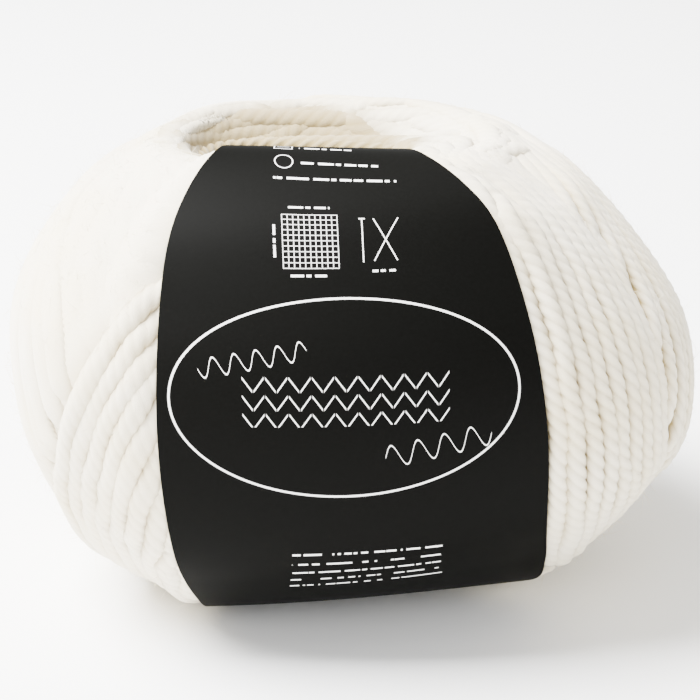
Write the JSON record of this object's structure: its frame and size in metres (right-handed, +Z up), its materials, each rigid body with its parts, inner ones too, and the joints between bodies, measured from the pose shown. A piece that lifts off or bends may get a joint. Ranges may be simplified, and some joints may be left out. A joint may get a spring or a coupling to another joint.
{
  "type": "ball of yarn",
  "caption": "Ball of thick plied yarn wound round an open centre, with a paper band that runs through the centre and round the front.",
  "frame": {"origin": "on the surface it stands on, under the middle of its bounds", "axes": "+Z up along the centre hole, -Y towards the front with the band's face, +X to the right seen from the front"},
  "size_m": [0.1264, 0.1216, 0.0844],
  "materials": {
    "wool_yarn": "soft off-white wool yarn, plied, slightly fuzzy",
    "band_paper": "smooth printed paper, near-black with a soft sheen"
  },
  "bodies": {
    "root": {"wound_ball": "wool_yarn", "paper_band": "band_paper"}
  },
  "joints": []
}
